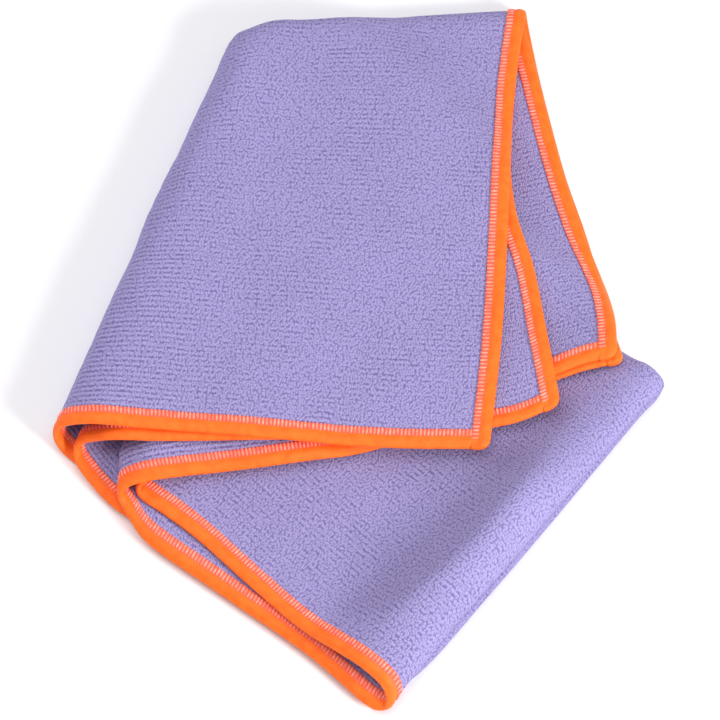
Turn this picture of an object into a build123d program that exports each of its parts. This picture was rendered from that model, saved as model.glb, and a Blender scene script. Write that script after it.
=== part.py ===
from build123d import *
import os

# A microfibre terry towel, 400 x 800 mm flat, bound with tape on all four edges. It is folded in
# quarters, then folded once more along a slanting line at the left, so eight layers lie in a stack.
# Millimetres, +Z up. The origin is the middle of the footprint, on the surface the towel lies on.
#
# The four corners are a, b, c and d. Each quarter of the towel starts at its corner in the upper
# strip, turns under at the left fold and ends at the far crease of the lower strip.
# Long edge ab runs from corner a to corner b, long edge cd from c to d.
# Short edge ad joins a to d over the lengthwise crease, short edge bc joins b to c inside it.

cloth_thickness = 2.4
layer_pitch = 3.6
tape_width = 9.0
fold_tape_width = 7.6
tape_web = 1.5
tape_leg = 0.8
stitch_near, stitch_far = 4.5, 7.5
stitch_depth = 0.3
drape_start, drape_run = 6.0, 36.0
strip_height = 4 * layer_pitch
reach = 320.0

# Footprints of the layers, as seen from above.
far_tip, far_corner, crease_corner = (16, -174), (136, -24), (128, -6)
outer_crease = [(76, 174), (-50, 160)]
inner_crease = [(74.5, 168.5), (-45, 155)]
quarters = {
    "a": {
        "fold": [(-136, -45), (-50, 160)],
        "upper_edge": [(-136, -45), (57, -58)],
        "short_edge": [(57, -58), (64, 70), (76, 174)],
        "lower_edge": [(-136, -45), far_tip],
        "layers": (7, 0),
        "face_up": (True, False),
    },
    "b": {
        "fold": [(-127, -49), (-45, 155)],
        "upper_edge": [(-127, -49), (58, -44), (86, -37)],
        "short_edge": [(86, -37), (68, 67), (74.5, 168.5)],
        "lower_edge": [(-127, -49), (-110, -73), far_tip],
        "layers": (6, 1),
        "face_up": (False, True),
    },
    "c": {
        "fold": [(-107, -74), (-40.5, 155.5)],
        "upper_edge": [(-107, -74), (-83, -64), (86, -8), (114, 0)],
        "short_edge": [(114, 0), (101, 70), (74.5, 168.5)],
        "lower_edge": [(-107, -74), (-92, -96), (-13, -158), far_tip],
        "layers": (5, 2),
        "face_up": (True, False),
    },
    "d": {
        "fold": [(-98, -69), (-35, 161.7)],
        "upper_edge": [(-98, -69), (-75, -58), (90, -13), (117.5, -6)],
        "short_edge": [(117.5, -6), (105, 68), (76, 174)],
        "lower_edge": [(-98, -69), (-77, -90), (4, -160), far_tip],
        "layers": (4, 3),
        "face_up": (False, True),
    },
}


def area_of(outline):
    with BuildSketch() as area:
        with BuildLine():
            Polyline(*outline, close=True)
        make_face()
    return area.sketch


def stretched(path, extra=15.0):
    """The path with its two ends carried on, so that a zone made from it covers the corners."""
    points = [Vector(*p) for p in path]
    first = points[0] + (points[0] - points[1]).normalized() * extra
    last = points[-1] + (points[-1] - points[-2]).normalized() * extra
    return [first, *points[1:-1], last]


def edge_zone(path, width):
    """Everything within width of a bound edge, on its left, which is the towel's side."""
    with BuildSketch() as zone:
        with BuildLine() as line:
            Polyline(*stretched(path))
            offset(amount=width, side=Side.LEFT, kind=Kind.INTERSECTION)
        make_face()
    return zone.sketch


def ribbon(start, end, near, far, begin, finish, side):
    """A rectangle beside the line from start to end, between two distances from it."""
    origin = Vector(*start)
    along = (Vector(*end) - origin).normalized()
    across = Vector(-along.Y, along.X) * side
    corners = [(begin, near), (finish, near), (finish, far), (begin, far)]
    return area_of([origin + along * s + across * w for s, w in corners])


def flat_slab(area, low, high):
    with BuildPart() as slab:
        with BuildSketch(Plane.XY.offset(low)):
            add(area)
        extrude(amount=high - low)
    return slab.part


def draped_slab(area, low, high):
    """A layer of the upper strip: level on the lower strip, then down to the surface beyond it."""
    top_left, top_right = Vector(*outer_crease[1]), Vector(*crease_corner)
    along = (top_right - top_left).normalized()
    beyond = Vector(-along.Y, along.X)
    profile_plane = Plane(origin=top_left, x_dir=beyond, z_dir=beyond.cross(Vector(0, 0, 1)))
    with BuildPart() as slab:
        with BuildSketch(profile_plane):
            with BuildLine():
                for level in (low, high):
                    shelf, foot = strip_height + level, level
                    drape_end = drape_start + drape_run
                    middle = (drape_start + drape_run / 2, (shelf + foot) / 2)
                    Line((-reach, shelf), (drape_start, shelf))
                    TangentArc((drape_start, shelf), middle, tangent=(1, 0))
                    TangentArc((drape_end, foot), middle, tangent=(-1, 0))
                    Line((drape_end, foot), (reach, foot))
                Line((-reach, strip_height + low), (-reach, strip_height + high))
                Line((reach, low), (reach, high))
            make_face()
        extrude(amount=reach, both=True)
        with BuildSketch(Plane.XY.offset(-1)):
            add(area)
        extrude(amount=60, mode=Mode.INTERSECT)
    return slab.part


pieces = {"cloth": [], "tape": {}, "face_thread": {}, "back_thread": {}}


def keep(kind, edge, solid):
    pieces[kind].setdefault(edge, []).append(solid)


def lay_panel(slab, outline, bound, base, face_up):
    """One layer of one quarter. bound lists its taped edges, and the first owns their corner."""
    whole = area_of(outline)
    body, tongue, taken = whole, whole, None
    bottom, top = base, base + cloth_thickness
    for edge, path in bound:
        body = body - edge_zone(path, tape_width)
        tongue = tongue - edge_zone(path, tape_web)
    pieces["cloth"].append(slab(body, bottom, top))
    pieces["cloth"].append(slab(tongue, bottom + tape_leg, top - tape_leg))
    for edge, path in bound:
        zone = whole & edge_zone(path, tape_width)
        stitched = whole & (edge_zone(path, stitch_far) - edge_zone(path, stitch_near))
        if taken:
            zone, stitched = zone - taken, stitched - taken
        taken = edge_zone(path, tape_width)
        keep("tape", edge, slab(zone, bottom, top))
        upper_thread = slab(stitched, top - stitch_depth, top)
        lower_thread = slab(stitched, bottom, bottom + stitch_depth)
        keep("face_thread" if face_up else "back_thread", edge, upper_thread)
        keep("back_thread" if face_up else "face_thread", edge, lower_thread)


def raise_wall(slab, start, end, side, low, high, edge=None):
    """The upright back of a fold. Its taped end, if it has one, is at start."""
    length = (Vector(*end) - Vector(*start)).length
    taped = fold_tape_width if edge else 0.0
    pieces["cloth"].append(slab(ribbon(start, end, 0, cloth_thickness, taped, length, side), low, high))
    if edge:
        core = ribbon(start, end, tape_leg, cloth_thickness - tape_leg, tape_web, taped, side)
        pieces["cloth"].append(slab(core, low, high))
        keep("tape", edge, slab(ribbon(start, end, 0, cloth_thickness, 0, taped, side), low, high))


long_edge = {"a": "ab", "b": "ab", "c": "cd", "d": "cd"}
short_edge = {"a": "ad", "b": "bc", "c": "bc", "d": "ad"}
crease_of = {"a": outer_crease, "b": inner_crease, "c": inner_crease, "d": outer_crease}

for name, quarter in quarters.items():
    upper, lower = quarter["layers"]
    fold_foot, fold_head = quarter["fold"]
    upper_up, lower_up = quarter["face_up"]

    outline = quarter["upper_edge"] + quarter["short_edge"][1:] + [fold_head]
    bound = [(short_edge[name], quarter["short_edge"]), (long_edge[name], quarter["upper_edge"])]
    lay_panel(draped_slab, outline, bound, (upper - 4) * layer_pitch, upper_up)

    inset = 0 if name in "ad" else layer_pitch
    far_crease = [(crease_corner[0] - inset, crease_corner[1] - inset), fold_head]
    outline = quarter["lower_edge"] + [far_corner] + far_crease
    bound = [(long_edge[name], quarter["lower_edge"])]
    lay_panel(flat_slab, outline, bound, lower * layer_pitch, lower_up)

    low, high = lower * layer_pitch + cloth_thickness, upper * layer_pitch
    raise_wall(flat_slab, fold_foot, fold_head, -1, low, high, long_edge[name])

# Lengthwise creases: d up to a outside, c up to b inside, and the same two in the lower strip.
for crease, bottom, top, edge in ((outer_crease, 0, 3, "ad"), (inner_crease, 1, 2, "bc")):
    low, high = bottom * layer_pitch + cloth_thickness, top * layer_pitch
    raise_wall(draped_slab, crease[0], crease[1], 1, low, high, edge)
    inset = bottom * layer_pitch
    corner = (crease_corner[0] - inset, crease_corner[1] - inset)
    raise_wall(flat_slab, corner, crease[1], 1, low, high)

# Far creases, where quarter a turns back into b and c into d.
for bottom in (0, 2):
    low, high = bottom * layer_pitch + cloth_thickness, (bottom + 1) * layer_pitch
    raise_wall(flat_slab, far_tip, far_corner, 1, low, high, "ab" if bottom == 0 else "cd")

with BuildPart() as terry_cloth:
    for solid in pieces["cloth"]:
        add(solid)
terry_cloth.part.label = "terry_cloth"

finished = [terry_cloth]
edge_names = {"ab": "long_edge_ab", "cd": "long_edge_cd", "ad": "short_edge_ad", "bc": "short_edge_bc"}
threads = {}
for kind, side in (("face_thread", "face"), ("back_thread", "back")):
    for edge, solids in pieces[kind].items():
        with BuildPart() as stitching:
            for solid in solids:
                add(solid)
            add(terry_cloth.part, mode=Mode.SUBTRACT)
        stitching.part.label = f"{edge_names[edge]}_{side}_stitches"
        threads[kind, edge] = stitching
        finished.append(stitching)

for edge, solids in pieces["tape"].items():
    with BuildPart() as tape:
        for solid in solids:
            add(solid)
        add(terry_cloth.part, mode=Mode.SUBTRACT)
        for other in pieces["face_thread"], pieces["back_thread"]:
            for solid in other[edge]:
                add(solid, mode=Mode.SUBTRACT)
    tape.part.label = f"{edge_names[edge]}_tape"
    finished.append(tape)

os.makedirs("parts", exist_ok=True)
for piece in finished:
    export_step(piece.part, f"parts/{piece.part.label}.step")
    print(piece.part.label, len(piece.part.solids()), "solids", round(piece.part.volume), "mm3")
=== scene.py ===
import math
import bmesh
import bpy
import numpy as np
from mathutils import Matrix, Vector, noise


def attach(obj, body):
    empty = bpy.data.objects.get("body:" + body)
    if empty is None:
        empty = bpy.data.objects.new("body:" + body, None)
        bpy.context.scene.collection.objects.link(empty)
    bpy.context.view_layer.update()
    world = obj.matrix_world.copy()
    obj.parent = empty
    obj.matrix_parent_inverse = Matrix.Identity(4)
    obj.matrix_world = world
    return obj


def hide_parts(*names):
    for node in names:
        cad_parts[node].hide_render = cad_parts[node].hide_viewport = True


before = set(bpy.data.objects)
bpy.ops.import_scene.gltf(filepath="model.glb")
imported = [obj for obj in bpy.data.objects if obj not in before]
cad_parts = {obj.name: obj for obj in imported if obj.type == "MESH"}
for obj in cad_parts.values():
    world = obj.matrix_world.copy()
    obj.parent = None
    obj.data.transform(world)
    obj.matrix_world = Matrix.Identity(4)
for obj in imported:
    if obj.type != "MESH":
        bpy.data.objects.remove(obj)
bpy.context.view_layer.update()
bpy.context.scene.world = bpy.data.worlds.new("studio")

# The towel is one sheet, worked out here in millimetres: u runs along its 800 mm and v across its 400 mm.
# Its four quarters are named by their corners a, b, c and d. In each, s is the distance from the short edge
# and w goes from 0 at the long bound edge to 1 at the lengthwise crease.
towel = {
    "length": 800.0,
    "width": 400.0,
    "thickness": 2.4,
    "layerPitch": 3.0,
    "columns": 270,
    "rows": 136,
    "creaseAtCornerA": 222.0,
    "creaseInside": 201.0,
    "creaseAtCornerB": 218.0,
    "farFoldRadius": {"ab": 3.0, "cd": 5.0},
    "farRoll": {"a": 0.0, "b": 2.0, "c": 2.0, "d": 6.0},
    "creaseRadius": {"ad": 4.5, "bc": 2.2},
    "valleyDepth": 12.0,
    "slopeHeight": 6.0,
}

# Plan of the folded towel, looking down. Each quarter has an upper part, which ends where its fold begins
# to turn under, and a lower part from there to the far fold. bulge is how far the fold swells outwards, as a
# share of its half height, and puff how far the layer stands off beside it, in mm. Each is given at the bound
# edge, then at the crease.
farFold = [(30.5, -148.4), (54.4, -120), (73.5, -96.9), (124, -34), (131, -27), (136.2, -19)]
farCorner = farFold[-1]
quarters = {
    "a": {
        "shortEdge": [(55.7, -56.5), (61.8, -4), (65.5, 50), (68.7, 105), (72, 140), (77, 173.5)],
        "upperEdge": [(55.7, -56.5), (15, -55.8), (-26, -52.8), (-70, -48.8), (-106, -45.8), (-126, -44)],
        "upperCrease": [(77, 173.5), (56, 172), (18, 168.5), (-20, 162.3), (-38, 162), (-51, 157)],
        "foldTop": [(-126, -44), (-109, 0), (-101, 22), (-92.5, 41), (-90, 60), (-81.5, 83), (-74.5, 93),
                    (-65, 124), (-51, 157)],
        "foldUnder": [(-129, -51), (-54, 149)],
        "lowerEdge": [(-129, -51), (-55, -110), (13, -163.5)],
        "bulge": (0.75, 0.6),
        "puff": (2.0, 0.5),
    },
    "b": {
        "shortEdge": [(87.3, -35), (82.5, -4), (77.3, 32), (69, 66), (69, 115), (75.5, 168)],
        "upperEdge": [(87.3, -35), (62, -44.3), (-10, -50), (-70, -51), (-106, -50.5), (-124, -47)],
        "upperCrease": [(75.5, 168), (18, 162.5), (-30, 154), (-43, 148)],
        "foldTop": [(-124, -47), (-85, 48), (-43, 148)],
        "foldUnder": [(-125, -56.5), (-46, 141)],
        "lowerEdge": [(-125, -56.5), (-110, -74), (-88, -90), (13, -163.5)],
        "bulge": (0.85, 0.8),
        "puff": (2.0, 0.5),
    },
    "c": {
        "shortEdge": [(113, -11.5), (113, 9), (109, 32), (99.7, 62), (91, 95), (81.5, 140), (75.5, 168)],
        "upperEdge": [(113, -11.5), (89, -18), (18, -50), (-26, -59.7), (-70, -65), (-100.7, -69.5)],
        "upperCrease": [(75.5, 168), (18, 162.5), (-30, 154), (-43, 148)],
        "foldTop": [(-100.7, -69.5), (-107.5, -54), (-98, -28), (-80, 20), (-64, 70), (-43, 148)],
        "foldUnder": [(-103, -78.5), (-46, 141)],
        "lowerEdge": [(-103, -78.5), (-92.5, -93.5), (-58, -118.5), (-20.5, -146), (2.5, -167), (12.5, -173)],
        "bulge": (1.0, 0.9),
        "puff": (2.0, 0.5),
    },
    "d": {
        "shortEdge": [(116.2, -13), (111.8, 6), (109, 30), (101.3, 62), (93.2, 90), (83.5, 135),
                      (77, 173.5)],
        "upperEdge": [(116.2, -13), (88.5, -19.5), (20, -46), (-40, -58.5), (-75, -63), (-95.5, -67)],
        "upperCrease": [(77, 173.5), (56, 172), (18, 168.5), (-20, 162.3), (-38, 162), (-51, 157)],
        "foldTop": [(-95.5, -67), (-60, 50), (-41, 133), (-51, 157)],
        "foldUnder": [(-98, -73), (-43, 129), (-54, 149)],
        "lowerEdge": [(-98, -73), (-87.8, -79.8), (-70.7, -93.2), (-47.2, -115.3), (-23.5, -137), (1.5, -156),
                      (14, -166)],
        "bulge": (1.0, 0.9),
        "puff": (1.0, 0.4),
    },
}
stack = ["a lower", "b lower", "c lower", "d lower", "d upper", "c upper", "b upper", "a upper"]


def smoothLine(points, perSpan=24):
    # a Catmull-Rom curve through a few points, with its running length from 0 to 1
    knots = np.array(points, float)
    knots = np.vstack([2 * knots[0] - knots[1], knots, 2 * knots[-1] - knots[-2]])
    t = np.linspace(0, 1, perSpan, endpoint=False)[:, None]
    spans = []
    for before, start, end, after in zip(knots, knots[1:], knots[2:], knots[3:]):
        spans.append(0.5 * (2 * start + (end - before) * t + (2 * before - 5 * start + 4 * end - after) * t**2
                            + (3 * start - before - 3 * end + after) * t**3))
    line = np.vstack(spans + [knots[-2:-1]])
    steps = np.linalg.norm(np.diff(line, axis=0), axis=1)
    run = np.concatenate([[0], np.cumsum(steps)])
    return line, run / run[-1]


def onLine(curve, t):
    line, run = curve
    return np.stack([np.interp(t, run, line[:, k]) for k in range(2)], axis=-1)


def patch(edge, crease, start, end, p, w):
    # a surface between four border lines: p runs along edge and crease, w along start and end
    p, w = np.broadcast_arrays(p, w)
    alongShare, acrossShare = p[..., None], w[..., None]
    sides = ((1 - acrossShare) * onLine(edge, p) + acrossShare * onLine(crease, p)
             + (1 - alongShare) * onLine(start, w) + alongShare * onLine(end, w))
    corners = ((1 - alongShare) * (1 - acrossShare) * edge[0][0] + alongShare * (1 - acrossShare) * edge[0][-1]
               + (1 - alongShare) * acrossShare * crease[0][0] + alongShare * acrossShare * crease[0][-1])
    return sides - corners


for name, quarter in quarters.items():
    under = quarter["foldUnder"][-1]
    farEdge = [quarter["lowerEdge"][-1]] + farFold
    lines = {key: smoothLine(quarter[key]) for key in
             ("shortEdge", "upperEdge", "upperCrease", "foldTop", "foldUnder", "lowerEdge")}
    lines["lowerCrease"] = smoothLine([under, (38, 66), (116, -3.5), (127.5, -10.5), farCorner])
    lines["farFold"] = smoothLine(farEdge)
    quarter["lines"] = lines


def upperPlan(quarter, p, w):
    lines = quarter["lines"]
    return patch(lines["upperEdge"], lines["upperCrease"], lines["shortEdge"], lines["foldTop"], p, w)


def lowerPlan(quarter, p, w):
    lines = quarter["lines"]
    return patch(lines["lowerEdge"], lines["lowerCrease"], lines["foldUnder"], lines["farFold"], p, w)


# A height map of what already lies there, in 2 mm cells, grows as each layer is laid on it.
cell = 2.0
mapLow = np.array([-170.0, -210.0])
mapShape = (171, 211)


def spread(heights, radius):
    # the highest point within a radius of each cell
    reach = int(radius / cell)
    best = heights.copy()
    padded = np.pad(heights, reach, mode="edge")
    for i in range(-reach, reach + 1):
        for j in range(-reach, reach + 1):
            if (i * i + j * j) * cell * cell <= radius * radius:
                shifted = padded[reach + i:reach + i + mapShape[0], reach + j:reach + j + mapShape[1]]
                best = np.maximum(best, shifted)
    return best


def soften(heights, sigma):
    reach = int(3 * sigma / cell) + 1
    offsets = np.arange(-reach, reach + 1) * cell
    weights = np.exp(-0.5 * (offsets / sigma) ** 2)
    weights /= weights.sum()
    padded = np.pad(heights, reach, mode="edge")
    rows = sum(k * padded[n:n + mapShape[0], :] for n, k in enumerate(weights))
    return sum(k * rows[:, n:n + mapShape[1]] for n, k in enumerate(weights))


def heightAt(heights, plan):
    x = np.clip((plan[..., 0] - mapLow[0]) / cell, 0, mapShape[0] - 1.001)
    y = np.clip((plan[..., 1] - mapLow[1]) / cell, 0, mapShape[1] - 1.001)
    i, j = x.astype(int), y.astype(int)
    fx, fy = x - i, y - j
    return ((heights[i, j] * (1 - fx) + heights[i + 1, j] * fx) * (1 - fy)
            + (heights[i, j + 1] * (1 - fx) + heights[i + 1, j + 1] * fx) * fy)


# How layers stand off what is under them. Lengths are in mm; the rest are shares, of the way from the bound
# edge to the crease where they say where something starts or ends.
lift = {
    "puffReach": 34,  # beside a fold
    "ripple": 0.8,
    "rippleFromFold": 70,
    "rippleWidth": 22,
    "rollCrest": 9,  # from the far fold
    "rollWidth": 14,
    "rollAtEdge": 0.4,  # share of the roll's height at the long bound edge
    "rollFullAt": 0.3,
    "stackFrom": 0.55,  # where the strip starts to go under the stack
    "stackOver": 0.3,
    "dropFromFold": 17.5,
    "dropFurtherAtEdge": 23,
    "dropFurtherAtCrease": 9,
    "dropWidth": 5.5,
    "dropWiderAtEdge": 3.5,
    "edgeReach": 0.2,
    "dropEndsAt": 0.62,
    "dropEndsOver": 0.05,
    "ledgeFullAt": 20,
    "slopeReach": 80,
}


def liftOf(name, part, p, w, quarter):
    # how far a layer stands off what is under it: puffed beside its folds, rolled over the far fold
    fromFold = (1 - p) * np.interp(w, shareAcross, quarter[part + "Length"])
    puff = quarter["puff"][0] * (1 - w) + quarter["puff"][1] * w
    if part == "upper":
        ripple = np.exp(-(((fromFold - lift["rippleFromFold"]) / lift["rippleWidth"]) ** 2))
        return puff * np.exp(-((fromFold / lift["puffReach"]) ** 2)) + lift["ripple"] * ripple * (1 - w)
    opened = lift["rollAtEdge"] + (1 - lift["rollAtEdge"]) * np.clip(w / lift["rollFullAt"], 0, 1)
    crest = np.exp(-(((fromFold - lift["rollCrest"]) / lift["rollWidth"]) ** 2))
    roll = towel["farRoll"][name] * crest * opened
    if name != "d":
        return roll
    # towards the crease the strip flattens as it goes under the stack
    inStack = np.clip((w - lift["stackFrom"]) / lift["stackOver"], 0, 1)
    roll = roll * (1 - 0.55 * inStack)
    # d drops off the roll into a valley, far in at the long bound edge and closer beyond it, then falls gently
    nearEdge = np.exp(-((w / lift["edgeReach"]) ** 2))
    dropAt = lift["dropFromFold"] + lift["dropFurtherAtEdge"] * nearEdge + lift["dropFurtherAtCrease"] * w**2
    dropWidth = lift["dropWidth"] + lift["dropWiderAtEdge"] * nearEdge
    shallow = 0.45 + 0.55 * np.clip(w / 0.25, 0, 1)
    fading = 0.05 + 0.95 / (1 + np.exp((w - lift["dropEndsAt"]) / lift["dropEndsOver"]))
    drop = 0.5 * (1 - np.tanh((fromFold - dropAt) / dropWidth))
    ledge = shallow * fading * drop * np.clip(fromFold / lift["ledgeFullAt"], 0, 1)
    gentle = np.exp(-((fromFold / lift["slopeReach"]) ** 2)) * opened * (1 - 0.8 * inStack)
    return roll + towel["valleyDepth"] * ledge + towel["slopeHeight"] * gentle


shareAcross = np.linspace(0, 1, 30)
for quarter in quarters.values():
    for part, plan in (("upper", upperPlan), ("lower", lowerPlan)):
        track = plan(quarter, np.linspace(0, 1, 60)[:, None], shareAcross[None, :])
        quarter[part + "Length"] = np.linalg.norm(np.diff(track, axis=0), axis=2).sum(axis=0)

# a layer that reaches past the folds below it bridges that far, in mm, before it drops
bridging = {"d upper": 9.0, "b upper": 14.0, "a upper": 14.0}
bridgingElsewhere = 7.0
bridgeSoftness = 4.0
underside = 0.9  # clearance of the lowest layer, which its own unevenness takes up

supports = {}
laid = np.full(mapShape, underside)
half = towel["layerPitch"] / 2
for layer in stack:
    name, part = layer.split()
    quarter = quarters[name]
    supports[layer] = soften(spread(laid, bridging.get(layer, bridgingElsewhere)), bridgeSoftness)
    p, w = np.meshgrid(np.linspace(0, 1, 260), np.linspace(0, 1, 200), indexing="ij")
    plan = (upperPlan if part == "upper" else lowerPlan)(quarter, p, w)
    z = heightAt(supports[layer], plan) + half + liftOf(name, part, p, w, quarter)
    i = np.rint((plan[..., 0] - mapLow[0]) / cell).astype(int)
    j = np.rint((plan[..., 1] - mapLow[1]) / cell).astype(int)
    np.maximum.at(laid, (i, j), z + half)
print("heights of the eight layers worked out")


def creaseAcross(u):
    # where the lengthwise crease lies across the towel, which isn't quite its middle
    knots = [0, 150, 400, 650, 800]
    values = [towel["creaseAtCornerA"], 208, towel["creaseInside"], 207, towel["creaseAtCornerB"]]
    return np.interp(u, knots, values)


halfColumns, halfRows = towel["columns"] // 2, towel["rows"] // 2


def foldQuarter(name):
    quarter = quarters[name]
    halfLength = towel["length"] / 2
    s = np.linspace(0, halfLength, halfColumns + 1)[:, None]
    u = s if name in "ad" else towel["length"] - s
    across = creaseAcross(u)
    width = across if name in "ab" else towel["width"] - across
    toCrease = width * (1 - np.linspace(0, 1, halfRows + 1)[None, :])
    radius = towel["creaseRadius"]["ad" if name in "ad" else "bc"]
    quarterArc = radius * math.pi / 2
    turn = np.clip(toCrease / quarterArc, 0, 1) * math.pi / 2
    inset = np.where(toCrease < quarterArc, radius * (1 - np.cos(turn)), toCrease - quarterArc + radius)
    w = 1 - inset / (width - quarterArc + radius)
    s, w = np.broadcast_arrays(s, w)

    # lengths along the towel at each w: upper part, turn of the fold, lower part
    count = 90
    ws = np.linspace(0, 1, 60)
    steps = np.linspace(0, 1, count)
    upper = upperPlan(quarter, steps[:, None], ws[None, :])
    lower = lowerPlan(quarter, steps[:, None], ws[None, :])
    upperRun = np.linalg.norm(np.diff(upper, axis=0), axis=2).sum(axis=0)
    lowerRun = np.linalg.norm(np.diff(lower, axis=0), axis=2).sum(axis=0)
    zTop = heightAt(supports[name + " upper"], upper[-1]) + half + liftOf(name, "upper", 1.0, ws, quarter)
    zUnder = heightAt(supports[name + " lower"], lower[0]) + half + liftOf(name, "lower", 0.0, ws, quarter)
    rise = (zTop - zUnder) / 2
    bulge = rise * (quarter["bulge"][0] * (1 - ws) + quarter["bulge"][1] * ws)
    shift = np.linalg.norm(lower[0] - upper[-1], axis=1)
    turnRun = np.hypot(math.pi * np.sqrt((rise**2 + bulge**2) / 2), shift)
    farRadius = towel["farFoldRadius"]["ab" if name in "ab" else "cd"]
    farArc = farRadius * math.pi / 2
    ratio = (halfLength - turnRun - farArc + farRadius) / (upperRun + lowerRun)

    def at(values):
        return np.interp(w, ws, values)

    upperFlat, lowerFlat, turnFlat = at(upperRun * ratio), at(lowerRun * ratio), at(turnRun)
    toFar = halfLength - s
    farTurn = np.clip(toFar / farArc, 0, 1) * math.pi / 2
    farInset = np.where(toFar < farArc, farRadius * (1 - np.cos(farTurn)), toFar - farArc + farRadius)
    pUpper = np.clip(s / upperFlat, 0, 1)
    pLower = np.clip(1 - farInset / lowerFlat, 0, 1)
    planUpper, planLower = upperPlan(quarter, pUpper, w), lowerPlan(quarter, pLower, w)
    zUpper = heightAt(supports[name + " upper"], planUpper) + half + liftOf(name, "upper", pUpper, w, quarter)
    zLower = heightAt(supports[name + " lower"], planLower) + half + liftOf(name, "lower", pLower, w, quarter)
    phase = np.clip((s - upperFlat) / turnFlat, 0, 1) * math.pi
    foldLine = upper[-1][-1] - upper[-1][0]
    outward = np.array([-foldLine[1], foldLine[0]]) / np.linalg.norm(foldLine)
    share = (phase / math.pi)[..., None]
    planTurn = (1 - share) * planUpper + share * planLower + outward * (at(bulge) * np.sin(phase))[..., None]
    zTurn = at((zTop + zUnder) / 2) + at(rise) * np.cos(phase)
    turning = (s > upperFlat) & (s < upperFlat + turnFlat)
    isUpper = s <= upperFlat
    plan = np.where(turning[..., None], planTurn, np.where(isUpper[..., None], planUpper, planLower))
    z = np.where(turning, zTurn, np.where(isUpper, zUpper, zLower))
    return {"place": np.concatenate([plan, z[..., None]], axis=2), "creaseTurn": turn, "farTurn": farTurn}


folded = {name: foldQuarter(name) for name in quarters}
for first, second in (("a", "d"), ("b", "c")):  # the lengthwise crease joins these two halves
    middle = (folded[first]["place"][:, -1] + folded[second]["place"][:, -1]) / 2
    for name in (first, second):
        side = folded[name]
        offset = side["place"][:, -1] - middle
        side["place"] -= offset[:, None, :] * (1 - np.sin(side["creaseTurn"]))[..., None]
for first, second in (("a", "b"), ("d", "c")):  # the far fold joins these
    middle = (folded[first]["place"][-1] + folded[second]["place"][-1]) / 2
    for name in (first, second):
        side = folded[name]
        offset = side["place"][-1] - middle
        side["place"] -= offset[None, :, :] * (1 - np.sin(side["farTurn"]))[..., None]

place = np.zeros((towel["columns"] + 1, towel["rows"] + 1, 3))
place[:halfColumns + 1, :halfRows + 1] = folded["a"]["place"]
place[halfColumns:, :halfRows + 1] = folded["b"]["place"][::-1]
place[:halfColumns + 1, halfRows:] = folded["d"]["place"][:, ::-1]
place[halfColumns:, halfRows:] = folded["c"]["place"][::-1, ::-1]

columnU = np.linspace(0, towel["length"], towel["columns"] + 1)
rowShare = np.linspace(0, 1, halfRows + 1)
toCreaseV = creaseAcross(columnU)[:, None]
flatV = np.concatenate([toCreaseV * rowShare, toCreaseV + (towel["width"] - toCreaseV) * rowShare[1:]], axis=1)
flatU = np.repeat(columnU[:, None], towel["rows"] + 1, axis=1)


def relax(points, rounds):
    for _ in range(rounds):
        padded = np.pad(points, ((1, 1), (1, 1), (0, 0)), mode="edge")
        around = (padded[:-2, 1:-1] + padded[2:, 1:-1] + padded[1:-1, :-2] + padded[1:-1, 2:]) / 4
        inner = around[1:-1, 1:-1]
        points[1:-1, 1:-1] = points[1:-1, 1:-1] * 0.5 + inner * 0.5
        for edge in (0, -1):
            points[1:-1, edge] = points[1:-1, edge] * 0.5 + (points[:-2, edge] + points[2:, edge]) * 0.25
            points[edge, 1:-1] = points[edge, 1:-1] * 0.5 + (points[edge, :-2] + points[edge, 2:]) * 0.25
    return points


place = relax(place, 3)


def normalsOf(points):
    alongU = np.gradient(points, axis=0)
    alongV = np.gradient(points, axis=1)
    normal = np.cross(alongU, alongV)
    return normal / np.linalg.norm(normal, axis=2, keepdims=True)


# soft unevenness of knitted cloth that has been washed and folded; layers that lie on each other share it
waveLength = 42  # mm
waveHeights = {1.0: 0.9, 3.7: 0.35, 9.3: 0.16}  # mm, by how many times finer than that
waves = np.zeros(flatU.shape)
for i in range(flatU.shape[0]):
    for j in range(flatU.shape[1]):
        spot = Vector((place[i, j, 0] / waveLength, place[i, j, 1] / waveLength, 0.3))
        waves[i, j] = sum(noise.noise(spot * finer) * high for finer, high in waveHeights.items())
place[..., 2] += waves
place[..., 2] = np.maximum(place[..., 2], half)
normal = normalsOf(place)
lowest, highest = place.reshape(-1, 3).min(axis=0), place.reshape(-1, 3).max(axis=0)
print("sheet folded:", lowest.round(1), highest.round(1))


def finishPiece(bm, name, material, nodes):
    mesh = bpy.data.meshes.new(name)
    bm.to_mesh(mesh)
    bm.free()
    piece = bpy.data.objects.new(name, mesh)
    bpy.context.scene.collection.objects.link(piece)
    mesh.materials.append(material)
    for polygon in mesh.polygons:
        polygon.use_smooth = True
    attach(piece, "root")
    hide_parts(*nodes)
    return piece


def linear(hexColour):
    # sRGB hex to linear RGBA
    channels = [int(hexColour[k:k + 2], 16) / 255 for k in (1, 3, 5)]
    return [c / 12.92 if c <= 0.04045 else ((c + 0.055) / 1.055) ** 2.4 for c in channels] + [1.0]


def addNode(tree, kind, inputs=None, **settings):
    # a node with its settings; inputs are values, or sockets to link from
    node = tree.nodes.new(kind)
    for key, value in settings.items():
        setattr(node, key, value)
    for key, value in (inputs or {}).items():
        if isinstance(value, bpy.types.NodeSocket):
            tree.links.new(value, node.inputs[key])
        else:
            node.inputs[key].default_value = value
    return node


def newMaterial(name):
    material = bpy.data.materials.new(name)
    material.use_nodes = True
    tree = material.node_tree
    shader = next(node for node in tree.nodes if node.type == "BSDF_PRINCIPLED")
    return material, tree, shader


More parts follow.
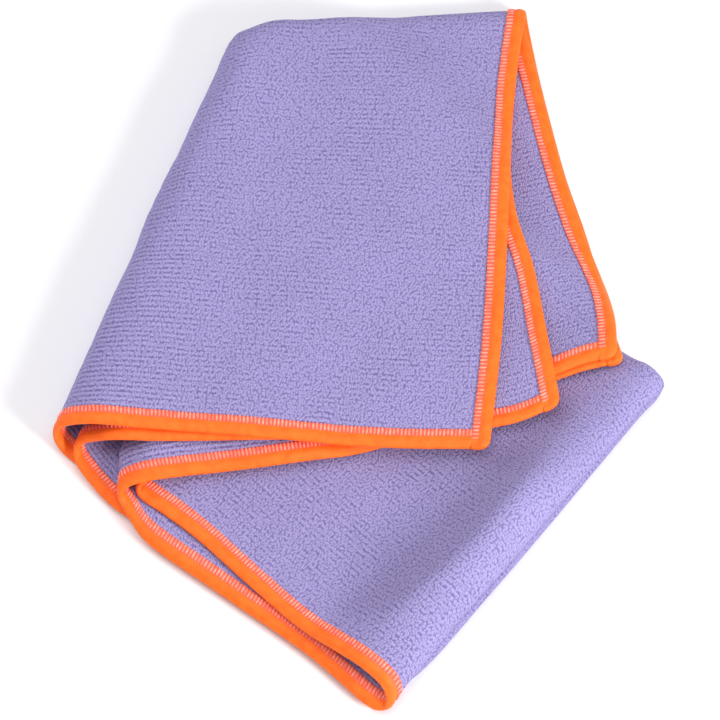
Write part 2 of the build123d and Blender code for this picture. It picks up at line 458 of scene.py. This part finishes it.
def ramp(tree, factor, stops):
    node = addNode(tree, "ShaderNodeValToRGB", {"Fac": factor})
    elements = node.color_ramp.elements
    while len(elements) < len(stops):
        elements.new(0.5)
    for element, (position, colour) in zip(elements, stops):
        element.position = position
        element.color = linear(colour) if isinstance(colour, str) else (colour, colour, colour, 1)
    return node


terry = {
    "rowSpacing": 2.4,  # mm between the knitted rows, which run along the towel
    "loopSpacing": 1.0,  # mm between the loops of a row
    # painted shade between the loops, the cloth's own colour, then painted light on the loops' tips
    "paintedGapShade": "#6F6599",
    "body": "#8D83B4",
    "paintedTipLight": "#A198C7",
    "bendFromEnds": 0.19,  # metres from the short edges to the turned folds
    "drift": 0.0014,  # metres that loops stray from their rows
    "sheen": 0.3,
}


def terryMaterial():
    # knitted microfibre terry: small soft loops in fine rows, matt with a pale sheen; its colour is darker
    # between the loops, which is painted shade, and paler on the loops' tips, which is painted light
    material, tree, shader = newMaterial("knitted microfibre terry")
    uv = addNode(tree, "ShaderNodeUVMap", uv_map="flat")  # the flat towel, in metres
    drift = addNode(tree, "ShaderNodeTexNoise", {"Vector": uv.outputs[0], "Scale": 130.0, "Detail": 3.0})
    wander = addNode(tree, "ShaderNodeVectorMath", {0: drift.outputs["Color"], 1: (0.5, 0.5, 0.5)},
                     operation="SUBTRACT")
    wandered = addNode(tree, "ShaderNodeVectorMath", {0: wander.outputs[0], "Scale": terry["drift"]},
                       operation="SCALE")
    spot = addNode(tree, "ShaderNodeVectorMath", {0: uv.outputs[0], 1: wandered.outputs[0]}, operation="ADD")
    scaled = addNode(tree, "ShaderNodeMapping", {
        "Vector": spot.outputs[0],
        "Scale": (1000 / terry["loopSpacing"], 2 * 1000 / terry["rowSpacing"], 1.0)})  # two loops to a row
    loops = addNode(tree, "ShaderNodeTexVoronoi", {
        "Vector": scaled.outputs[0], "Scale": 1.0, "Randomness": 0.95}, voronoi_dimensions="2D")
    split = addNode(tree, "ShaderNodeSeparateXYZ", {0: spot.outputs[0]})
    rowTurn = addNode(tree, "ShaderNodeMath", {
        0: split.outputs["Y"], 1: 2000 * math.pi / terry["rowSpacing"]}, operation="MULTIPLY")
    rowPhase = addNode(tree, "ShaderNodeMath", {0: rowTurn.outputs[0], 1: math.pi}, operation="ADD")
    rowCrest = addNode(tree, "ShaderNodeMath", {0: rowPhase.outputs[0]}, operation="COSINE")
    patches = addNode(tree, "ShaderNodeTexNoise", {"Vector": uv.outputs[0], "Scale": 22.0, "Detail": 2.0})
    fuzz = addNode(tree, "ShaderNodeTexNoise", {"Vector": uv.outputs[0], "Scale": 1300.0, "Detail": 3.0})
    # rows open up where the cloth bends round its folds; elsewhere they are lost among the loops in patches
    toEnds = addNode(tree, "ShaderNodeMath", {
        0: split.outputs["X"], 1: towel["length"] * 0.0005}, operation="PINGPONG")
    toBend = addNode(tree, "ShaderNodeMath", {
        0: toEnds.outputs[0], 1: terry["bendFromEnds"]}, operation="SUBTRACT")
    offBend = addNode(tree, "ShaderNodeMath", {0: toBend.outputs[0]}, operation="ABSOLUTE")
    bend = addNode(tree, "ShaderNodeMapRange", {
        "Value": offBend.outputs[0], "From Min": 0.02, "From Max": 0.1, "To Min": 0.3, "To Max": 0.0})
    rowDepth = addNode(tree, "ShaderNodeMapRange", {
        "Value": patches.outputs["Fac"], "From Min": 0.38, "From Max": 0.62, "To Min": 0.04, "To Max": 0.16})
    rowHeight = addNode(tree, "ShaderNodeMath", {
        0: rowDepth.outputs[0], 1: bend.outputs[0]}, operation="MAXIMUM")
    crown = addNode(tree, "ShaderNodeMapRange", {
        "Value": loops.outputs["Distance"], "From Min": 0.1, "From Max": 0.7, "To Min": 0.75, "To Max": 0.0})
    rowed = addNode(tree, "ShaderNodeMath", {
        0: rowCrest.outputs[0], 1: rowHeight.outputs[0], 2: crown.outputs[0]}, operation="MULTIPLY_ADD")
    height = addNode(tree, "ShaderNodeMath", {0: fuzz.outputs["Fac"], 1: 0.65, 2: rowed.outputs[0]},
                     operation="MULTIPLY_ADD")
    # the colour follows the loops' height: painted shade low in the gaps between them, painted light high on
    # their tips
    colour = ramp(tree, height.outputs[0], [(0.2, terry["paintedGapShade"]), (0.58, terry["body"]), (1.0, terry["paintedTipLight"])])
    tone = addNode(tree, "ShaderNodeMapRange", {
        "Value": patches.outputs["Fac"], "From Min": 0.3, "From Max": 0.7, "To Min": 1.03, "To Max": 0.96})
    shaded = addNode(tree, "ShaderNodeVectorMath", {0: colour.outputs[0], "Scale": tone.outputs[0]},
                     operation="SCALE")
    bump = addNode(tree, "ShaderNodeBump", {"Height": height.outputs[0], "Strength": 0.5, "Distance": 0.0008})
    tree.links.new(shaded.outputs[0], shader.inputs["Base Color"])
    tree.links.new(bump.outputs[0], shader.inputs["Normal"])
    shader.inputs["Roughness"].default_value = 0.95
    shader.inputs["Specular IOR Level"].default_value = 0.15
    shader.inputs["Sheen Weight"].default_value = terry["sheen"]
    shader.inputs["Sheen Roughness"].default_value = 0.45
    shader.inputs["Sheen Tint"].default_value = linear("#D8D0FF")
    return material


binding = {
    "width": 7.1,
    "stitchZone": 3.8,
    "halfThickness": 1.5,
    "overhang": 1.3,
    "cornerRadius": 4.0,
    "seamStartsAt": 5.0,  # mm from the tape's ends
    "ribSpacing": 0.55,  # mm between the weave's cross ribs
    "colour": "#FF701A",
    "deep": "#F6620F",
    "stitched": "#F85F48",
}


def bindingMaterial():
    # woven polyester binding: fine cross ribs, smooth, with a slight satin sheen; coral where the seam runs
    material, tree, shader = newMaterial("woven polyester binding")
    uv = addNode(tree, "ShaderNodeUVMap", uv_map="flat")  # along the edge, distance from it, in metres
    split = addNode(tree, "ShaderNodeSeparateXYZ", {0: uv.outputs[0]})
    along = addNode(tree, "ShaderNodeMath", {0: split.outputs["X"], 1: 2000 * math.pi / binding["ribSpacing"]},
                    operation="MULTIPLY")
    ribs = addNode(tree, "ShaderNodeMath", {0: along.outputs[0]}, operation="SINE")
    mottle = addNode(tree, "ShaderNodeTexNoise", {"Vector": uv.outputs[0], "Scale": 220.0, "Detail": 3.0})
    base = ramp(tree, mottle.outputs["Fac"], [(0.3, binding["deep"]), (0.62, binding["colour"])])
    inside = addNode(tree, "ShaderNodeMapRange", {
        "Value": split.outputs["Y"], "From Min": binding["stitchZone"] * 0.001 - 0.0003,
        "From Max": binding["stitchZone"] * 0.001 + 0.0005})
    mixed = addNode(tree, "ShaderNodeMix", {"Factor": inside.outputs[0], "A": base.outputs[0],
                                            "B": linear(binding["stitched"])}, data_type="RGBA")
    bump = addNode(tree, "ShaderNodeBump", {"Height": ribs.outputs[0], "Strength": 0.25, "Distance": 0.0001})
    tree.links.new(mixed.outputs["Result"], shader.inputs["Base Color"])
    tree.links.new(bump.outputs[0], shader.inputs["Normal"])
    shader.inputs["Roughness"].default_value = 0.62
    shader.inputs["Specular IOR Level"].default_value = 0.3
    shader.inputs["Sheen Weight"].default_value = 0.2
    shader.inputs["Sheen Tint"].default_value = linear("#FFB080")
    return material


thread = {
    "spacing": 1.7,  # mm from one stitch to the next
    "length": 3.6,
    "width": 1.15,
    "height": 0.6,
    "middle": 5.6,  # mm from the towel's edge
    "dark": "#F66F56",
    "colour": "#FF8A70",
    "light": "#FFA08A",
}


def threadMaterial():
    # spun polyester thread, coral, paler where the light catches its strands
    material, tree, shader = newMaterial("spun polyester thread")
    coordinates = addNode(tree, "ShaderNodeTexCoord")
    mottle = addNode(tree, "ShaderNodeTexNoise", {
        "Vector": coordinates.outputs["Object"], "Scale": 420.0, "Detail": 2.0})
    colour = ramp(tree, mottle.outputs["Fac"], [
        (0.35, thread["dark"]), (0.5, thread["colour"]), (0.66, thread["light"])])
    strands = addNode(tree, "ShaderNodeTexNoise", {"Vector": coordinates.outputs["Object"], "Scale": 2600.0})
    bump = addNode(tree, "ShaderNodeBump", {
        "Height": strands.outputs["Fac"], "Strength": 0.4, "Distance": 0.0001})
    tree.links.new(colour.outputs[0], shader.inputs["Base Color"])
    tree.links.new(bump.outputs[0], shader.inputs["Normal"])
    shader.inputs["Roughness"].default_value = 0.5
    shader.inputs["Sheen Weight"].default_value = 0.25
    return material


clothMaterial, tapeMaterial, stitchMaterial = terryMaterial(), bindingMaterial(), threadMaterial()


def gridIndex(vertex, columns, rows):
    return round((vertex.co.x + 1) / 2 * columns), round((vertex.co.y + 1) / 2 * rows)


def makeCloth():
    columns, rows = towel["columns"], towel["rows"]
    bm = bmesh.new()
    bmesh.ops.create_grid(bm, x_segments=columns, y_segments=rows, size=1)
    flat = bm.loops.layers.uv.new("flat")
    thin = bm.verts.layers.deform.new()
    for vertex in bm.verts:
        i, j = gridIndex(vertex, columns, rows)
        vertex.co = Vector(place[i, j]) * 0.001
        u, v = flatU[i, j], flatV[i, j]
        fromEdge = min(u, v, towel["length"] - u, towel["width"] - v)
        # the pile is pressed flat under the tapes and rises to its full depth just inside them
        pressed = 0.62
        vertex[thin][0] = min(1.0, pressed + 0.38 * max(0.0, fromEdge - binding["width"] + 2) / 5)
        for loop in vertex.link_loops:
            loop[flat].uv = (u * 0.001, v * 0.001)
    piece = finishPiece(bm, "towelCloth", clothMaterial, ["terry_cloth"])
    piece.vertex_groups.new(name="pile")
    solid = piece.modifiers.new("bothFaces", "SOLIDIFY")
    solid.thickness = towel["thickness"] * 0.001
    solid.offset = 0.0
    solid.vertex_group = "pile"
    solid.thickness_vertex_group = 0.0
    return piece


def edgeTrack(edge):
    # the rows of the sheet from one bound edge inwards: places, normals, distance from the edge, run along it
    if edge == "ab":
        rows, normals, distance, run = place, normal, flatV, flatU[:, 0]
    elif edge == "cd":
        rows, normals = place[:, ::-1], normal[:, ::-1]
        distance, run = towel["width"] - flatV[:, ::-1], flatU[:, 0]
    elif edge == "ad":
        rows, normals = place.transpose(1, 0, 2), normal.transpose(1, 0, 2)
        distance, run = flatU.T, flatV[0]
    else:
        rows, normals = place[::-1].transpose(1, 0, 2), normal[::-1].transpose(1, 0, 2)
        distance, run = towel["length"] - flatU[::-1].T, flatV[-1]
    depth = 8
    return rows[:, :depth], normals[:, :depth], distance[:, :depth], run


def alongTrack(track, runs):
    # the same, at chosen places along the edge, carried straight on past its ends
    rows, normals, distance, run = track
    inside = np.clip(runs, run[0], run[-1])
    step = np.interp(inside, run, np.arange(len(run)))
    i = np.minimum(step.astype(int), len(run) - 2)
    f = (step - i)[:, None]
    blend = [values[i] * (1 - f[..., None]) + values[i + 1] * f[..., None] for values in (rows, normals)]
    ahead = rows[i + 1] - rows[i]
    ahead /= np.linalg.norm(ahead, axis=2, keepdims=True)
    blend[0] += ahead * (runs - inside)[:, None, None]
    return blend[0], blend[1], distance[i] * (1 - f) + distance[i + 1] * f


def offEdge(rows, normals, distance, inward, height):
    # the point a distance in from the edge, raised off the cloth's middle; past the edge it carries straight on
    outward = rows[0] - rows[1]
    outward /= np.linalg.norm(outward)
    if inward <= 0:
        spot, up = rows[0] - outward * inward, normals[0]
    else:
        spot = np.array([np.interp(inward, distance, rows[:, k]) for k in range(3)])
        up = np.array([np.interp(inward, distance, normals[:, k]) for k in range(3)])
    return spot + up / np.linalg.norm(up) * height


def tapeProfile(halfThickness):
    # across the tape: over the top from its inner edge, round the towel's edge, and back underneath
    # each point is its distance from the towel's edge in mm, and its height as a share of the half thickness:
    # pulled down where the seam runs, plump between the seam and the edge
    out, zone, wide = binding["overhang"], binding["stitchZone"], binding["width"]
    top = [(wide, 0.78), (wide - 0.5, 0.92), (zone + 0.9, 0.88), (zone + 0.1, 0.86),
           (zone - 0.6, 1.0), (zone - 1.6, 1.1), (zone - 2.8, 1.12), (0.9, 1.08),
           (-0.2, 0.92), (-out * 0.65, 0.66), (-out * 0.93, 0.34), (-out, 0.0)]
    under = [(inward, -share) for inward, share in reversed(top[:-1])]
    channel = [(wide - 0.2, -0.5), (1.0, -0.4), (1.0, 0.4), (wide - 0.2, 0.5)]
    outline, hollow = [[(inward, share * halfThickness) for inward, share in line]
                       for line in (top + under, channel)]
    return outline, hollow


def makeTape(edge, node, halfThickness, start, finish):
    outline, channel = tapeProfile(halfThickness)
    profile = outline + channel
    count = len(profile)
    corner = binding["cornerRadius"]
    ends = np.array([0.0, 0.25, 0.7, 1.3, 2.1, 3.2, 4.5])
    stations = int((finish - start - 12) / 2.0)
    runs = np.concatenate([start + ends, np.linspace(start + 6, finish - 6, stations), finish - ends[::-1]])
    rows, normals, distance = alongTrack(edgeTrack(edge), runs)
    bm = bmesh.new()
    bmesh.ops.create_grid(bm, x_segments=count, y_segments=len(runs) - 1, size=1)
    flat = bm.loops.layers.uv.new("flat")
    for vertex in bm.verts:
        i, j = gridIndex(vertex, count, len(runs) - 1)
        inward, height = profile[i % count]
        # each end is rounded in plan and in section, and closed; its seam stops short of it
        fromEnd = min(runs[j] - start, finish - runs[j])
        inSeam = fromEnd > binding["seamStartsAt"]
        painted = inward if inSeam else min(inward, binding["stitchZone"] - 0.8)
        short = max(0.0, corner - fromEnd)
        drawnIn = corner - math.sqrt(corner**2 - short**2)
        share = (binding["width"] - inward) / (binding["width"] + binding["overhang"])
        inward += drawnIn * share
        height *= math.sqrt(1 - (1 - min(1.0, 0.15 + fromEnd / 1.5)) ** 2)
        if i % count >= len(outline) and fromEnd < 1.0:
            inward, height = binding["width"] - 0.3, height * 0.1
        vertex.co = Vector(offEdge(rows[j], normals[j], distance[j], inward, height)) * 0.001
        for loop in vertex.link_loops:
            loop[flat].uv = (runs[j] * 0.001, painted * 0.001)
    bmesh.ops.remove_doubles(bm, verts=bm.verts, dist=0.000001)
    bmesh.ops.holes_fill(bm, edges=[e for e in bm.edges if e.is_boundary])
    bmesh.ops.recalc_face_normals(bm, faces=bm.faces)
    return finishPiece(bm, node.replace("_", "-"), tapeMaterial, [node])


def makeStitches(edge, side, node, halfThickness, start, finish):
    facing = 1 if side == "face" else -1
    runs = np.arange(start, finish, thread["spacing"])
    rows, normals, distance = alongTrack(edgeTrack(edge), runs)
    one = bmesh.new()
    lengthwise = Matrix.Rotation(math.pi / 2, 4, "Y")
    bmesh.ops.create_uvsphere(one, u_segments=6, v_segments=4, radius=1, matrix=lengthwise)
    stitch = bpy.data.meshes.new("stitch")
    one.to_mesh(stitch)
    one.free()
    bm = bmesh.new()
    level = halfThickness * 0.88 + thread["height"] * 0.1  # just proud of the tape where the seam pulls it down
    for j in range(len(runs)):
        uneven = noise.noise(Vector((runs[j] * 0.37, 7.1 * facing, len(edge))))
        middle = thread["middle"] + 0.35 * uneven
        reach = thread["length"] / 2
        inner = offEdge(rows[j], normals[j], distance[j], middle + reach, level * facing)
        outer = offEdge(rows[j], normals[j], distance[j], middle - reach, level * facing)
        along = Vector(inner - outer)
        up = Vector(normals[j][2]) * facing
        beside = up.cross(along).normalized()
        up = along.normalized().cross(beside)
        lean = Matrix.Rotation(0.12 * uneven, 3, up)
        axes = Matrix((lean @ along.normalized(), lean @ beside, up)).transposed().to_4x4()
        size = Matrix.Diagonal((along.length / 2, thread["width"] / 2, thread["height"] / 2, 1))
        spot = Matrix.Translation(Vector((inner + outer) / 2) * 0.001) @ axes @ Matrix.Scale(0.001, 4) @ size
        stitch.transform(spot)
        bm.from_mesh(stitch)
        stitch.transform(spot.inverted())
    bpy.data.meshes.remove(stitch)
    bmesh.ops.recalc_face_normals(bm, faces=bm.faces)
    return finishPiece(bm, node.replace("_", "-"), stitchMaterial, [node])


cloth = makeCloth()
print("cloth made")
edges = {"ab": "long_edge_ab", "cd": "long_edge_cd", "ad": "short_edge_ad", "bc": "short_edge_bc"}
for edge, label in edges.items():
    isLong = edge in ("ab", "cd")
    total = towel["length"] if isLong else towel["width"]
    # the short edges are bound last, over the ends of the long edges' tapes
    past = -3.5 if isLong else binding["overhang"] + 0.3
    thick = binding["halfThickness"] + (0.0 if isLong else 0.3)
    makeTape(edge, f"{label}_tape", thick, -past, total + past)
    begin = binding["width"] + 0.5 if isLong else 3.0
    for side in ("face", "back"):
        makeStitches(edge, side, f"{label}_{side}_stitches", thick, begin, total - begin)
print("tapes and stitches made")

studio = {
    "distance": 1.6,  # metres
    "frameWidth": 0.32544,  # metres seen at that distance
    "elevation": 66.0,
    "floorColour": "#F4F3F6",
    "world": 0.38,
}


def makeStudio():
    floorMaterial, tree, shader = newMaterial("plain pale floor")
    shader.inputs["Base Color"].default_value = linear(studio["floorColour"])
    shader.inputs["Roughness"].default_value = 0.9
    bm = bmesh.new()
    bmesh.ops.create_grid(bm, x_segments=1, y_segments=1, size=4)
    mesh = bpy.data.meshes.new("floor")
    bm.to_mesh(mesh)
    bm.free()
    floor = bpy.data.objects.new("floor", mesh)
    mesh.materials.append(floorMaterial)
    bpy.context.scene.collection.objects.link(floor)
    world = bpy.context.scene.world
    world.use_nodes = True
    background = world.node_tree.nodes["Background"]
    background.inputs["Color"].default_value = linear("#FFFFFF")
    background.inputs["Strength"].default_value = studio["world"]
    for name, position, energy, size in (
            ("keyLight", (1.05, -0.8, 0.76), 23.5, 0.5),
            ("topLight", (-0.1, -0.05, 1.55), 11.5, 1.1),
            ("fillLight", (-1.1, 0.6, 0.8), 7.0, 1.0)):
        light = bpy.data.lights.new(name, "AREA")
        light.energy, light.size = energy, size
        lamp = bpy.data.objects.new(name, light)
        lamp.location = position
        lamp.rotation_euler = (-Vector(position)).to_track_quat("-Z", "Y").to_euler()
        bpy.context.scene.collection.objects.link(lamp)
    camera = bpy.data.cameras.new("camera")
    camera.sensor_width = 36.0
    camera.lens = camera.sensor_width * studio["distance"] / studio["frameWidth"]
    camera.clip_end = 20
    holder = bpy.data.objects.new("camera", camera)
    tilt = math.radians(studio["elevation"])
    target = Vector((0, -0.003, 0))
    holder.location = target + Vector((0, -math.cos(tilt), math.sin(tilt))) * studio["distance"]
    holder.rotation_euler = (math.pi / 2 - tilt, 0, 0)
    bpy.context.scene.collection.objects.link(holder)
    bpy.context.scene.camera = holder
    bpy.context.scene.view_settings.view_transform = "Standard"


makeStudio()
print("studio ready")
